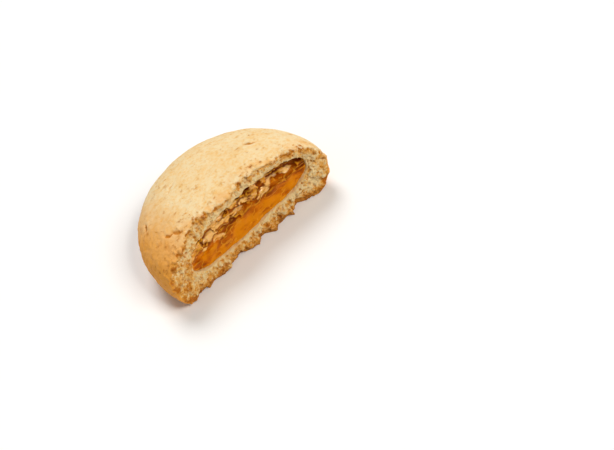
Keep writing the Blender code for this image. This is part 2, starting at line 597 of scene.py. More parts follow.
class Sketch:
    """The nodes of one material, round one Principled shader."""

    def __init__(self, name: str) -> None:
        """Start a material.

        Args:
            name: The material's name.
        """
        self.material = bpy.data.materials.new(name)
        self.material.use_nodes = True
        self.tree = self.material.node_tree
        self.shader = self.tree.nodes["Principled BSDF"]
        self.coordinates = self.node("ShaderNodeTexCoord", {}, {}).outputs["Object"]

    def node(
        self, kind: str, settings: dict[str, object], values: dict[int | str, object]
    ) -> bpy.types.Node:
        """Add a node, set it, then fill its sockets.

        Args:
            kind: The node's type.
            settings: Its properties by name, with a ramp's stops as "stops".
            values: For each input by place or name, a Value, an output socket, or a constant.

        Returns:
            The node.
        """
        made = self.tree.nodes.new(kind)
        for name, setting in settings.items():
            if name == "stops":
                self.set_stops(made.color_ramp.elements, setting)
            else:
                setattr(made, name, setting)
        for key, value in values.items():
            self.fill(made.inputs[key], value)
        return made

    @staticmethod
    def set_stops(elements: bpy.types.ColorRampElements, stops: Sequence[tuple[float, Colour]]) -> None:
        """Give a ramp its stops.

        Args:
            elements: The ramp's elements, two at first.
            stops: A place and a colour for each, the ramp's two ends before the others.
        """
        for index, (spot, colour) in enumerate(stops):
            element = elements[index] if index < 2 else elements.new(spot)
            element.position = spot
            element.color = (*colour, 1.0)

    def fill(self, socket: bpy.types.NodeSocket, value: object) -> None:
        """Link a value into a socket, or set the socket to a constant.

        Args:
            socket: The input to fill.
            value: A Value, an output socket, or a constant.
        """
        if isinstance(value, Value):
            self.tree.links.new(value.socket, socket)
        elif isinstance(value, bpy.types.NodeSocket):
            self.tree.links.new(value, socket)
        elif isinstance(value, tuple) and len(value) == 3 and socket.type == "RGBA":
            socket.default_value = (*value, 1.0)
        else:
            socket.default_value = value

    def noise(
        self, size: float, detail: float = 3.0, roughness: float = 0.55, stretch: Triple | None = None
    ) -> Value:
        """Cloudy noise over the piece.

        Args:
            size: The size of its largest cloud.
            detail: Its finer layers.
            roughness: How strong the finer layers are.
            stretch: How much longer a cloud is along each axis.

        Returns:
            A value round 0.5.
        """
        vector = self.stretched(stretch)
        inputs = {"Vector": vector, "Scale": 1.0 / size, "Detail": detail, "Roughness": roughness}
        return Value(self, self.node("ShaderNodeTexNoise", {}, inputs).outputs[0])

    def grains(self, size: float) -> tuple[Value, Value]:
        """Grains of uneven shape, which are cells with wandering borders.

        Args:
            size: The size of a grain.

        Returns:
            A random number for each grain, and the distance from its middle.
        """
        warp = {"Vector": self.coordinates, "Scale": 1.6 / size}
        wander = self.node("ShaderNodeTexNoise", {}, warp).outputs["Color"]
        reach = {0: wander, "Scale": 0.9 * size}
        shift = self.node("ShaderNodeVectorMath", {"operation": "SCALE"}, reach).outputs[0]
        moved = {0: self.coordinates, 1: shift}
        spot = self.node("ShaderNodeVectorMath", {"operation": "ADD"}, moved).outputs[0]
        cells = self.node("ShaderNodeTexVoronoi", {}, {"Vector": spot, "Scale": 1.0 / size})
        chance = self.node("ShaderNodeSeparateColor", {}, {0: cells.outputs["Color"]}).outputs[0]
        return Value(self, chance), Value(self, cells.outputs["Distance"])

    def stretched(self, stretch: Triple | None) -> bpy.types.NodeSocket:
        """The piece's coordinates, for a pattern drawn out along the axes.

        Args:
            stretch: How much longer the pattern is along each axis.

        Returns:
            The coordinates.
        """
        if stretch is None:
            return self.coordinates
        scale = tuple(1.0 / s for s in stretch)
        return self.node("ShaderNodeMapping", {}, {"Vector": self.coordinates, "Scale": scale}).outputs[0]

    def attribute(self, name: str) -> Value:
        """A number stored on the piece's vertices."""
        return Value(self, self.node("ShaderNodeAttribute", {"attribute_name": name}, {}).outputs["Fac"])

    def axis(self, index: int) -> Value:
        """One of the piece's coordinates."""
        split = self.node("ShaderNodeSeparateXYZ", {}, {0: self.coordinates})
        return Value(self, split.outputs[index])

    def ramp(self, value: Value, stops: Sequence[tuple[float, Colour]]) -> bpy.types.NodeSocket:
        """A colour read off a ramp, whose first two stops are its ends."""
        return self.node("ShaderNodeValToRGB", {"stops": stops}, {0: value}).outputs[0]

    def mix(self, factor: "Value | float", low: object, high: object) -> bpy.types.NodeSocket:
        """A colour between two others."""
        inputs = {0: factor, MIX_LOW: low, MIX_HIGH: high}
        return self.node("ShaderNodeMix", {"data_type": "RGBA"}, inputs).outputs[MIX_COLOUR]

    def bump(self, height: Value, distance: float, strength: float = 1.0) -> None:
        """Let a height roughen the shader's surface."""
        inputs = {"Height": height, "Distance": distance, "Strength": strength}
        self.fill(self.shader.inputs["Normal"], self.node("ShaderNodeBump", {}, inputs).outputs[0])

    def set(self, **inputs: object) -> None:
        """Fill the shader's inputs, named with underscores for spaces."""
        for name, value in inputs.items():
            self.fill(self.shader.inputs[name.replace("_", " ")], value)


# Finishes


@dataclass(frozen=True)
class DoughFinish:
    """Baked skin, browner low down and underneath, over pale, crumbly dough."""

    skin_light: Colour = (0.88, 0.70, 0.41)
    skin_gold: Colour = (0.86, 0.54, 0.20)
    skin_brown: Colour = (0.84, 0.36, 0.05)
    scorch: Colour = (0.64, 0.22, 0.02)
    speck: Colour = (0.80, 0.36, 0.05)
    # Partly the cracks' own browner colour, partly painted shade in their deepest parts.
    crack: Colour = (0.55, 0.19, 0.02)
    cream: Colour = (0.98, 0.74, 0.37)
    straw: Colour = (0.95, 0.59, 0.20)
    golden: Colour = (0.84, 0.38, 0.055)
    toast: Colour = (0.56, 0.165, 0.010)
    # Painted shade for the crumb's pores and hollows.
    pore_shade: Colour = (0.62, 0.21, 0.018)
    base_crust: Colour = (0.60, 0.25, 0.035)
    base_dark: Colour = (0.30, 0.095, 0.012)
    lip: Colour = (0.92, 0.67, 0.32)

    def skin(self, sketch: Sketch) -> bpy.types.NodeSocket:
        """The baked skin: mottled, browner low down and at one end, and darkest in its pits and cracks, partly
        painted shade in the cracks.

        Args:
            sketch: The material.

        Returns:
            The skin's colour.
        """
        patches = sketch.noise(8 * MM, 3.0, 0.6).above(0.36, 0.66)
        mottle = sketch.noise(2.2 * MM, 4.0, 0.65).above(0.42, 0.66)
        grain = sketch.noise(0.8 * MM, 3.0, 0.6).above(0.45, 0.66)
        colour = sketch.mix(patches * 0.35 + mottle * 0.4 + grain * 0.45, self.skin_light, self.skin_gold)
        wander = (sketch.noise(5 * MM, 3.0) - 0.5) * (7 * MM)
        low = 1.0 - (sketch.axis(2) + wander).above(3 * MM, 14 * MM)
        browner_end = 1.0 - (sketch.axis(0) + wander).above(-26 * MM, -6 * MM)
        browned = (low + browner_end).above(0.0, 1.1)
        near_rim = 1.0 - sketch.attribute("behind").above(0.6, 3.6)
        rim = near_rim * sketch.noise(3 * MM, 3.0).above(0.42, 0.6)
        colour = sketch.mix(browned, colour, self.skin_brown)
        scorched = sketch.noise(2.6 * MM, 4.0, 0.65).above(0.50, 0.68) * browned
        colour = sketch.mix(scorched * 0.48, colour, self.scorch)
        colour = sketch.mix(rim * 0.45, colour, self.skin_brown)
        flecks = sketch.noise(1.0 * MM, 3.0, 0.6).above(0.60, 0.74)
        flecked = (sketch.noise(4 * MM, 2.0) + browned * 0.26).above(0.60, 0.76)
        colour = sketch.mix(flecks * flecked * 0.32, colour, self.speck)
        pitted = sketch.attribute("pitted")
        colour = sketch.mix(pitted.above(0.05, 0.60) * 0.40, colour, self.speck)
        # The cracks' cores: partly their own browner colour, partly painted shade where they are deepest.
        return sketch.mix(pitted.above(0.45, 0.95) * 0.9, colour, self.crack)

    def crumb(self, sketch: Sketch, depth: Value, grain: Value) -> bpy.types.NodeSocket:
        """The torn crumb, grain by grain: toasted near the skin and the base, with painted highlights on its
        raised grains and painted shade in its pores.

        Args:
            sketch: The material.
            depth: How deep the place lies under the skin, in millimetres.
            grain: A random number for each grain.

        Returns:
            The crumb's colour.
        """
        rim = 1.0 - depth.above(0.4, 2.2)
        near_base = 1.0 - sketch.axis(2).above(0.8 * MM, 4.5 * MM)
        fine, _ = sketch.grains(0.42 * MM)
        clouds = (sketch.noise(1.8 * MM, 4.0, 0.6) - 0.5) * 2.1
        browner_end = 1.0 - sketch.axis(0).above(-24 * MM, -10 * MM)
        tone = grain * 0.38 + fine * 0.20 + clouds + rim * 0.44 + near_base * 0.34 + browner_end * 0.24
        stops = ((0.28, self.cream), (1.0, self.toast), (0.46, self.straw), (0.70, self.golden))
        colour = sketch.ramp(tone, stops)
        relief_here = sketch.attribute("relief") + (sketch.noise(0.5 * MM, 2.0) - 0.5) * 0.12
        # Painted highlight: the crumb's raised grains are lightened towards cream.
        colour = sketch.mix(relief_here.above(0.04, 0.16) * 0.2, colour, self.cream)
        # Painted shade: the crumb's hollows are darkened towards the pore colour, more in some patches than
        # others.
        pores = (0.0 - relief_here).above(0.0, 0.15)
        porous = sketch.noise(2.8 * MM, 2.0).above(0.40, 0.60) * 0.5 + 0.35
        return sketch.mix(pores * porous, colour, self.pore_shade)

    def material(self) -> bpy.types.Material:
        """Build the material.

        Returns:
            Skin where the surface is the cookie's own, crumb where it is torn, and a crust at the foot.
        """
        sketch = Sketch("baked_dough")
        grain, away = sketch.grains(1.0 * MM)
        near_break = 1.0 - sketch.attribute("behind").above(1.0, 6.0) * 0.30
        stray = (sketch.noise(1.1 * MM, 4.0, 0.65) - 0.5) * 1.4 + (grain - 0.5) * 0.5
        depth = sketch.attribute("skin_depth") + stray * near_break
        torn = depth.above(0.15, 0.50)
        crumb = self.crumb(sketch, depth, grain)
        crumb = sketch.mix(sketch.attribute("lining") * 0.85, crumb, self.lip)
        colour = sketch.mix(torn, self.skin(sketch), crumb)
        level = sketch.axis(2) + (sketch.noise(1.4 * MM, 4.0, 0.6) - 0.5) * (2.0 * MM)
        low = 1.0 - level.above(0.5 * MM, 1.2 * MM)
        baked = sketch.noise(1.6 * MM, 4.0, 0.65).above(0.45, 0.68)
        base = sketch.mix(baked, self.base_crust, self.base_dark)
        colour = sketch.mix(low * 0.9, colour, base)
        fine_grain = sketch.noise(0.5 * MM, 4.0, 0.7)
        height = fine_grain * (0.45 + torn * 0.7) - away * torn
        sketch.set(Base_Color=colour, Roughness=0.62 + torn * 0.25, Specular_IOR_Level=0.12)
        sketch.bump(height, 0.40 * MM, 1.0)
        return sketch.material


@dataclass(frozen=True)
class JamFinish:
    """Wet amber gel, with painted shade in its creases and under the roof, painted highlights on its torn
    ledges, and a painted glow low down.
    """

    # Painted shade, for the creases, the deep recess and the top under the roof.
    shade_dark: Colour = (0.13, 0.016, 0.0002)
    amber: Colour = (0.34, 0.066, 0.0003)
    # Painted glow for the lower middle of the gel.
    glow: Colour = (0.53, 0.115, 0.0004)
    # Painted glow for the lowest part of the gel.
    low_glow: Colour = (0.72, 0.225, 0.001)
    # Painted highlight for the gel's raised ridges and its flaps.
    edge: Colour = (0.88, 0.38, 0.02)
    # Painted highlight for the flaps' upper sides.
    ledge: Colour = (0.97, 0.60, 0.22)
    # Painted highlight for thin strands in the gel.
    glint_strand: Colour = (0.98, 0.46, 0.03)
    gleam: Colour = (1.0, 0.60, 0.10)
    low_level: float = 4.0 * MM
    high_level: float = 15.0 * MM

    def material(self) -> bpy.types.Material:
        """Build the material.

        Returns:
            Streaked gel with fine, bright strands of painted highlight, a wet gloss and a little light under
            its surface.
        """
        sketch = Sketch("fruit_jam")
        streak = sketch.noise(2.5 * MM, 4.0, 0.6, (1.7, 1.0, 1.0))
        level = sketch.axis(2) + (streak - 0.5) * (20 * MM)
        # Painted light: a painted glow low down that turns to painted shade at the top under the roof,
        # streaked by noise, with the gel's own amber between.
        stops = ((0.0, self.low_glow), (0.90, self.shade_dark), (0.24, self.glow), (0.52, self.amber))
        colour = sketch.ramp(level.above(self.low_level, self.high_level), stops)
        upper = sketch.axis(2).above(7.5 * MM, 11.5 * MM)
        # Painted shade where the front lies deep in its recess under the roof.
        colour = sketch.mix(sketch.attribute("recess").above(1.2, 3.4) * 0.75, colour, self.shade_dark)
        ridge = sketch.attribute("relief") + (sketch.noise(0.8 * MM, 2.0) - 0.5) * 0.05
        # Painted highlight along the gel's raised ridges.
        colour = sketch.mix(ridge.above(0.02, 0.12) * 0.55, colour, self.edge)
        # Painted highlight: thin, bright strands where the streaks allow, like light caught inside the gel.
        glint_strand = sketch.noise(2.2 * MM, 2.0, 0.5, (1.8, 1.0, 1.0)) - 0.5
        glint_thread = 1.0 - (glint_strand * glint_strand).above(0.0, 0.0012)
        colour = sketch.mix(glint_thread * streak.above(0.42, 0.56) * 0.38, colour, self.glint_strand)
        flap = sketch.attribute("ledge")
        # Painted highlight: the flaps' upward sides are lightened, all over to the ridge colour and in streaks
        # to the pale ledge colour.
        colour = sketch.mix(flap * 0.7, colour, self.edge)
        ledge_highlight = flap * sketch.noise(0.9 * MM, 4.0, 0.65, (4.0, 1.0, 1.0)).above(0.36, 0.60)
        colour = sketch.mix(ledge_highlight * 0.85, colour, self.ledge)
        # Painted shade in the gel's hollows and creases, in its upper part.
        colour = sketch.mix((0.0 - ridge).above(0.01, 0.13) * upper * 0.85, colour, self.shade_dark)
        wet = sketch.noise(1.3 * MM, 3.0, 0.5, (1.8, 1.0, 1.0))
        sketch.set(Base_Color=colour, Roughness=0.04 + wet * 0.08)
        sketch.set(Specular_IOR_Level=0.18, Specular_Tint=self.gleam)
        sketch.set(Coat_Weight=flap * 0.6, Coat_Roughness=0.07)
        sketch.set(Subsurface_Weight=0.15, Subsurface_Radius=(1.0, 0.3, 0.03), Subsurface_Scale=0.8 * MM)
        sketch.bump(wet + sketch.noise(0.5 * MM, 2.0) * 0.2, 0.22 * MM, 0.8)
        return sketch.material


@dataclass(frozen=True)
class FloorFinish:
    """A plain, pale, matt table top."""

    colour: Colour = (0.93, 0.93, 0.93)

    def material(self) -> bpy.types.Material:
        """Build the material.

        Returns:
            The floor's material.
        """
        sketch = Sketch("pale_floor")
        sketch.set(Base_Color=self.colour, Roughness=0.9, Specular_IOR_Level=0.1)
        return sketch.material


# Sub-assemblies


def jam_lens(name: str, form: CookieForm, margin: float) -> bpy.types.Object:
    """The uncut lens of jam at its place in the cookie.

    Args:
        name: The new piece's name.
        form: The cookie's sizes.
        margin: How much larger the lens is than the jam.

    Returns:
        A closed lens.
    """
    section_steps = 40
    segments = 130
    lens = lathe(name, form.jam_section(margin, section_steps), segments)
    points = positions(lens)
    swell = np.array([noise.noise(Vector(p) / form.jam_swell_size) for p in points])
    spread = 1.0 - np.hypot(points[:, 0], points[:, 1]) / (2 * form.radius)
    points[:, 2] += form.jam_swell * swell * spread + form.jam_level + form.jam_tilt * points[:, 0]
    points[:, 0] += form.jam_shift
    place(lens, points)
    return lens


@dataclass(frozen=True)
class Walls:
    """The surfaces that the dough's vertices are measured from."""

    form: CookieForm
    skin: BVHTree
    hollow: BVHTree

    def under_skin(self, points: np.ndarray) -> np.ndarray:
        """How deep each point lies under the uncut skin, in millimetres."""
        return distances(self.skin, points) / MM

    def from_hollow(self, points: np.ndarray) -> np.ndarray:
        """How far each point lies from the hollow's wall, in millimetres."""
        return distances(self.hollow, points) / MM

    def behind_tear(self, points: np.ndarray) -> np.ndarray:
        """How far each point lies behind the torn surface, in millimetres."""
        return np.array([p[1] - self.form.break_level(p[0], p[2]) for p in points]) / MM


@dataclass(frozen=True)
class Crack:
    """A short, ragged crack in the skin: three places seen from above, in millimetres, and its size."""

    start: tuple[float, float]
    middle: tuple[float, float]
    end: tuple[float, float]
    width: float = 0.30
    depth: float = 1.0
    wander: float = 0.16

    def places(self, draw: random.Random) -> list[tuple[Vector, float]]:
        """Places along the crack, which is a curve with a ragged course.

        Args:
            draw: The source of its raggedness.

        Returns:
            Each place seen from above, with a share of the crack's size that fades to its ends.
        """
        spacing = 0.15
        steps = max(2, round(math.dist(self.start, self.end) / spacing))
        corners = (self.start, self.middle, self.end)
        found = []
        for i in range(steps + 1):
            t = i / steps
            ease = ((1 - t) ** 2, 2 * t * (1 - t), t**2)
            x, y = (sum(e * corner[axis] for e, corner in zip(ease, corners)) for axis in (0, 1))
            stray = [draw.uniform(-self.wander, self.wander) for _ in range(2)]
            spot = Vector((x + stray[0], y + stray[1], 0.0)) * MM
            found.append((spot, math.sin(math.pi * (0.1 + 0.8 * t))))
        return found


@dataclass
class SkinMarks:
    """The pits and cracks of the baked skin, densest towards -X."""

    form: CookieForm
    seed: int = 12
    small_marks: int = 48
    edge_limit: float = 0.995
    cracks: tuple[Crack, ...] = (
        Crack((-17.9, 3.4), (-17.3, 1.4), (-16.2, 2.0), 0.44, 1.7, 0.08),
        Crack((-16.2, 2.2), (-15.8, 0.4), (-14.0, -0.7), 0.46, 1.7, 0.08),
        Crack((12.0, 8.4), (12.2, 6.3), (14.8, 5.8), 0.34, 1.3, 0.08),
        Crack((-6.6, 1.8), (-5.2, 2.2), (-4.0, 3.4), 0.20, 0.6),
        Crack((-9.0, 12.0), (-8.0, 13.6), (-5.4, 13.9), 0.24, 0.7),
        Crack((5.0, 17.0), (7.6, 17.6), (9.4, 15.8), 0.24, 0.7),
        Crack((-19.6, 9.6), (-18.0, 10.6), (-17.6, 12.6), 0.26, 0.9),
    )

    def weights(self, points: np.ndarray, skin: BVHTree) -> np.ndarray:
        """How deep in a pit or a crack each vertex lies.

        Args:
            points: The dough's vertices.
            skin: The uncut skin.

        Returns:
            A weight from 0 to 1 for each vertex.
        """
        draw = random.Random(self.seed)
        tree = KDTree(len(points))
        for index, point in enumerate(points):
            tree.insert(point, index)
        tree.balance()
        weights = np.zeros(len(points))
        above = self.form.height + 5 * MM
        for crack in (*self.cracks, *(self.small_mark(draw) for _ in range(self.small_marks))):
            for spot, share in crack.places(draw):
                out = min(spot.length, self.edge_limit * self.form.radius)
                start = spot.normalized() * out + Vector((0, 0, above))
                middle = skin.ray_cast(start, Vector((0, 0, -1)))[0]
                reach = crack.width * MM * (0.4 + 0.6 * share)
                if middle is None:
                    continue
                for _, index, away in tree.find_range(middle, reach * 1.6):
                    depth = crack.depth * share * math.exp(-1.4 * (away / reach) ** 2)
                    weights[index] = max(weights[index], depth)
        return weights

    def small_mark(self, draw: random.Random) -> Crack:
        """One of the many pits and short cracks.

        Args:
            draw: The source of its place and size.

        Returns:
            The mark.
        """
        turn = draw.gauss(2.7, 0.9)
        out = self.form.radius / MM * (1.0 - 0.85 * draw.random() ** 1.9)
        start = (out * math.cos(turn), out * math.sin(turn))
        heading = turn + math.pi / 2 + draw.gauss(0.0, 0.7)
        length = 0.1 + 1.5 * draw.random() ** 3
        end = (start[0] + length * math.cos(heading), start[1] + length * math.sin(heading))
        size = draw.random() ** 2
        return Crack(start, start, end, 0.14 + 0.26 * size, 0.15 + 0.30 * draw.random(), 0.10)


@dataclass
class BakedDough:
    """The dough: the domed cookie less the filling's hollow and what is broken off, with crumb and marks."""

    form: CookieForm
    centre: Vector
    segments: int = 150
    tear_cell: float = 0.30 * MM
    voxel: float = 0.19 * MM
    clods: int = 2300
    base_flakes: int = 150
    rim_flakes: int = 110
    loose_crumbs: int = 210
    seed: int = 11
    kept_share: float = 0.43
    relief_rounds: int = 14

    def build(self) -> bpy.types.Object:
        """Model the dough and dress it.

        Returns:
            The dough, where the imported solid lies.
        """
        dough = self.model_skin()
        hollow = jam_lens("hollow", self.form, self.form.gap)
        walls = Walls(self.form, tree_of(dough), tree_of(hollow))
        block = torn_block("torn_off", self.form.break_level, self.tear_cell, self.form)
        for cutter in (hollow, block):
            use_modifier(dough, "BOOLEAN", operation="DIFFERENCE", solver="MANIFOLD", object=cutter)
        discard(hollow, block)
        join(dough, self.model_clods(walls.skin), self.model_base_flakes())
        join(dough, self.model_rim_flakes(walls.skin), self.model_loose_crumbs(walls.skin))
        use_modifier(dough, "REMESH", mode="VOXEL", voxel_size=self.voxel, adaptivity=0.0)
        self.map_regions(dough, walls)
        self.roughen(dough)
        self.lighten(dough)
        self.note_surface(dough, walls)
        place(dough, positions(dough) + np.array(self.centre))
        shade_smooth(dough)
        dough.data.materials.clear()
        dough.data.materials.append(DoughFinish().material())
        return dough

    def model_skin(self) -> bpy.types.Object:
        """The uncut cookie, gently uneven above its flat underside.

        Returns:
            A closed shell.
        """
        skin = lathe("baked_cookie", self.form.section(8, 24, 60), self.segments)
        levels = positions(skin)[:, 2]
        weigh(skin, Region.SKIN, levels / (0.35 * self.form.widest_level))
        press(skin, Pattern.CLOUDS, 9 * MM, 0.6 * MM, Region.SKIN, noise_depth=2)
        skin.vertex_groups.clear()
        return skin

    def model_clods(self, skin: BVHTree) -> bpy.types.Object:
        """Clods and grains of crumb that stand out of the torn face.

        Args:
            skin: The uncut skin, which they stay under.

        Returns:
            The clods in one mesh.
        """
        bpy.ops.object.select_all(action="DESELECT")
        bpy.ops.mesh.primitive_ico_sphere_add(subdivisions=2, radius=1.0)
        clod = newest("clod")
        press(clod, Pattern.CLOUDS, 0.9, 0.9, noise_depth=1)
        draw = random.Random(self.seed)
        placements = []
        while len(placements) < self.clods:
            x = draw.uniform(-self.form.radius, self.form.radius)
            z = draw.uniform(0.1 * MM, self.form.height)
            size = (0.20 + 0.55 * draw.random() ** 3) * MM
            if self.form.in_jam(x, z, 0.35 * MM + size):
                continue
            point = Vector((x, self.form.break_level(x, z) + draw.uniform(-0.35, 0.9) * size, z))
            nearest, normal, _, depth = skin.find_nearest(point)
            if (point - nearest).dot(normal) > 0.0 or depth < 0.5 * size:
                continue
            turn = tumbled(draw).to_4x4()
            stretch = Matrix.Diagonal((*(size * draw.uniform(0.7, 1.4) for _ in range(3)), 1.0))
            placements.append(Matrix.Translation(point) @ turn @ stretch)
        clods = scattered("clods", clod, placements)
        discard(clod)
        return clods

    def model_base_flakes(self) -> bpy.types.Object:
        """Angular flakes of the base crust along the foot of the break.

        Returns:
            The flakes in one mesh.
        """
        draw = random.Random(self.seed + 2)
        placements = []
        for _ in range(self.base_flakes):
            x = draw.uniform(-1.0, 1.0) * self.form.underside_radius
            z = draw.uniform(0.35, 1.9) * MM
            size = (draw.uniform(0.5, 1.3), draw.uniform(0.5, 1.0), draw.uniform(0.25, 0.5))
            y = self.form.break_level(x, z) + draw.uniform(-0.25, 0.3) * MM
            placements.append(laid(Vector((x, y, z)), tilted(draw, (20, 16, 40)), size))
        return chips("base_flakes", placements)

    def model_rim_flakes(self, skin: BVHTree) -> bpy.types.Object:
        """Flakes of skin that stand out past the break along its rim.

        Args:
            skin: The uncut skin, which they lie on.

        Returns:
            The flakes in one mesh.
        """
        settling_rounds = 4
        draw = random.Random(self.seed + 3)
        placements = []
        while len(placements) < self.rim_flakes:
            x = draw.uniform(-0.97, 0.97) * self.form.radius
            z = self.form.height
            for _ in range(settling_rounds):
                spot, normal = self.from_above(skin, x, self.form.break_level(x, z))
                if spot is None:
                    break
                z = spot.z
            if spot is None:
                continue
            size = (draw.uniform(0.6, 1.7), draw.uniform(0.6, 1.5), draw.uniform(0.30, 0.5))
            across = normal.cross(Vector((0, 1, 0))).normalized()
            lie = Matrix((across, normal.cross(across), normal)).transposed()
            turn = lie @ tilted(draw, (12, 12, 35))
            sunk = normal * (-0.30 - 0.5 * draw.random() ** 2) * MM
            stray = Vector((0, draw.uniform(-0.15, 0.35), 0)) * MM
            placements.append(laid(spot + sunk + stray, turn, size))
        return chips("rim_flakes", placements)

    def model_loose_crumbs(self, skin: BVHTree) -> bpy.types.Object:
        """Crumbs that cling to the skin beside the break, most of them at its browner end.

        Args:
            skin: The uncut skin, which they lie on.

        Returns:
            The crumbs in one mesh.
        """
        draw = random.Random(self.seed + 4)
        placements = []
        while len(placements) < self.loose_crumbs:
            x = (-24.0 + 46.0 * draw.random() ** 2.2) * MM
            y = self.form.break_level(x, self.form.height) + abs(draw.gauss(0.0, 1.5)) * MM
            spot, normal = self.from_above(skin, x, y)
            if spot is None:
                continue
            size = 0.22 + 0.5 * draw.random() ** 2
            turn = tumbled(draw)
            breadth = size * draw.uniform(0.6, 1.0)
            placements.append(laid(spot - normal * 0.12 * MM, turn, (size, breadth, size)))
        return chips("loose_crumbs", placements)

    def from_above(self, skin: BVHTree, x: float, y: float) -> tuple[Vector | None, Vector | None]:
        """Where the skin lies at a place seen from above, and its normal there, or nothing past its edge."""
        return skin.ray_cast(Vector((x, y, 2 * self.form.height)), Vector((0, 0, -1)))[:2]

    def map_regions(self, dough: bpy.types.Object, walls: Walls) -> None:
        """Weigh the torn face, the skin, its rough places and marks, and what shows little.

        Args:
            dough: The dough.
            walls: What its vertices are measured from.
        """
        points = positions(dough)
        depth = walls.under_skin(points)
        behind = walls.behind_tear(points)
        clear = (walls.from_hollow(points) - 0.10) / 0.35
        near_tear = np.clip((2.2 - np.abs(behind)) / 0.8, 0, 1)
        torn = near_tear * np.clip(clear, 0, 1) * np.clip(depth / 0.5 - 0.2, 0, 1)
        skin = np.clip(1.0 - depth / 0.35, 0, 1) * np.clip(points[:, 2] / (1.2 * MM), 0, 1)
        weigh(dough, Region.TORN, torn)
        weigh(dough, Region.SKIN, skin)
        rough_end = np.clip(-points[:, 0] / (7 * MM) - 1.7, 0, 1)
        rough_foot = 0.4 * np.clip(1.6 - points[:, 2] / (6 * MM), 0, 1)
        rough = np.maximum(rough_end, rough_foot)
        weigh(dough, Region.ROUGH, skin * rough)
        weigh(dough, Region.MARKS, SkinMarks(self.form).weights(points, walls.skin) * (skin > 0.3))
        hollow = np.clip(behind - 4.0, 0, 1) * (depth > 0.8)
        under = points[:, 2] < 0.15 * MM
        weigh(dough, Region.HIDDEN, np.maximum.reduce([hollow, under * 0.8, 0.3 * skin * (1 - rough)]))

    def roughen(self, dough: bpy.types.Object) -> None:
        """Press the crumb's pores, the skin's grain, its pits and its cracks into the mesh.

        Args:
            dough: The dough, with its regions.
        """
        press(dough, Pattern.CELLS, 0.8 * MM, 0.42 * MM, Region.TORN)
        press(dough, Pattern.CLOUDS, 0.5 * MM, 0.48 * MM, Region.TORN, noise_depth=2)
        press(dough, Pattern.CLOUDS, 2.4 * MM, 0.18 * MM, Region.SKIN, noise_depth=3)
        press(dough, Pattern.CLOUDS, 0.8 * MM, 0.10 * MM, Region.SKIN, noise_depth=1)
        press(dough, Pattern.CLOUDS, 1.3 * MM, 0.45 * MM, Region.ROUGH, noise_depth=2)
        use_modifier(dough, "DISPLACE", strength=-0.42 * MM, mid_level=0.0, vertex_group=Region.MARKS.value)

    def lighten(self, dough: bpy.types.Object) -> None:
        """Level the foot with the underside, and thin out the faces that show little.

        Args:
            dough: The dough, with its regions.
        """
        points = positions(dough)
        points[:, 2] = np.maximum(points[:, 2], 0.0)
        place(dough, points)
        thin_out(dough, self.kept_share)

    def note_surface(self, dough: bpy.types.Object, walls: Walls) -> None:
        """Store what the material reads: the pits, the relief that sets the crumb's painted highlights and
        shade, and how far each vertex is from each wall.

        Args:
            dough: The dough, whose regions are dropped.
            walls: What its vertices are measured from.
        """
        points = positions(dough)
        group = dough.vertex_groups[Region.MARKS.value].index
        pitted = np.zeros(len(points))
        for vertex in dough.data.vertices:
            for member in vertex.groups:
                if member.group == group:
                    pitted[vertex.index] = member.weight
        dough.vertex_groups.clear()
        note(dough, "pitted", pitted)
        # The relief sets the crumb's painted highlights on raised grains and painted shade in its hollows.
        note(dough, "relief", relief(dough, self.relief_rounds))
        note(dough, "skin_depth", walls.under_skin(points))
        note(dough, "behind", walls.behind_tear(points))
        note(dough, "lining", np.clip(1.0 - walls.from_hollow(points) / 0.25, 0, 1))


@dataclass(frozen=True)
class Terrace:
    """A ledge on which the torn jam steps back: its rise over the jam's middle, its reach and its course."""

    rise: float
    reach: float
    soft: float
    wander: float
    length: float
    seed: float

    def back(self, x: float, height: float) -> float:
        """How far the ledge takes the jam back.

        Args:
            x: A place along the break.
            height: A height over the jam's middle.

        Returns:
            The step back there, all of it above the ledge and none below.
        """
        stray = noise.noise(Vector((x / self.length * 2.3, self.seed, height * 400)))
        along = x / self.length + 0.25 * stray
        broken = noise.cell(Vector((along + 40.0, self.seed, 0.0)))
        swing = noise.noise(Vector((x / (1.6 * self.length), self.seed, 0.0)))
        share = (height - self.rise - self.wander * (0.6 * broken + swing)) / (2 * self.soft) + 0.5
        share = min(max(share, 0.0), 1.0)
        return self.reach * (1.0 + 0.35 * swing) * share * share * (3.0 - 2.0 * share)


@dataclass(frozen=True)
class Flap:
    """A torn flap of gel that leans out of the front, in millimetres and degrees."""

    along: float
    rise: float
    length: float
    breadth: float
    slant: float
    pitch: float = 56.0
    thickness: float = 0.45


